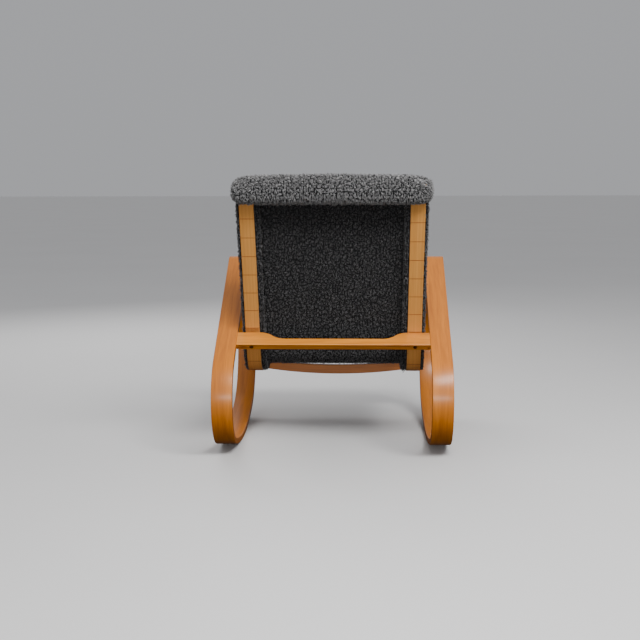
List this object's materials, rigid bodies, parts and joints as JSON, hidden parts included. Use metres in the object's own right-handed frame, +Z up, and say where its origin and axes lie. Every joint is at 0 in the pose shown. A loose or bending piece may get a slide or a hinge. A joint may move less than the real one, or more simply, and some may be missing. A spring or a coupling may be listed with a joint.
{
  "type": "bentwood rocking chair",
  "caption": "Rocking chair with closed laminated bentwood side loops that are rocker and arm in one, a bent two-rail seat frame, a fleece cushion and a headrest roll.",
  "frame": {"origin": "floor level under the middle of the chair's bounding box, with the chair at rest on its rockers", "axes": "+Z up, -Y the way the sitter faces, +X the sitter's left, across the chair between the side loops"},
  "size_m": [0.68, 0.807, 0.8006],
  "materials": {
    "loop_wood": "satin clear lacquer on laminated beech, orange-brown",
    "stretcher_wood": "satin clear lacquer, honey-coloured",
    "rail_wood": "satin clear lacquer, pale yellow-brown",
    "slip_wood": "dark glued slip, lacquered over",
    "dowel_wood": "raw beech",
    "charcoal_fleece": "charcoal curly fleece",
    "foam": "polyurethane foam",
    "rubber_webbing": "rubber webbing",
    "black_steel": "black oxide",
    "plated_steel": "zinc plated"
  },
  "bodies": {
    "root": {"left_loop": "loop_wood", "right_loop": "loop_wood", "rear_stretcher": "stretcher_wood", "front_stretcher": "stretcher_wood", "left_rail": "rail_wood", "right_rail": "rail_wood", "left_kerf_slips": "slip_wood", "right_kerf_slips": "slip_wood", "top_cross_rail": "rail_wood", "back_straps": "rubber_webbing", "seat_straps": "rubber_webbing", "cushion_cover": "charcoal_fleece", "cushion_foam": "foam", "headrest_cover": "charcoal_fleece", "headrest_foam": "foam", "left_side_strip": "charcoal_fleece", "right_side_strip": "charcoal_fleece", "left_back_bead": "charcoal_fleece", "right_back_bead": "charcoal_fleece", "back_panel": "charcoal_fleece", "rear_bolts": "black_steel", "rear_bolt_inserts": "plated_steel", "front_bolts": "black_steel", "front_bolt_inserts": "plated_steel", "rear_stretcher_dowels": "dowel_wood", "front_stretcher_dowels": "dowel_wood", "top_rail_dowels": "dowel_wood"}
  },
  "joints": []
}
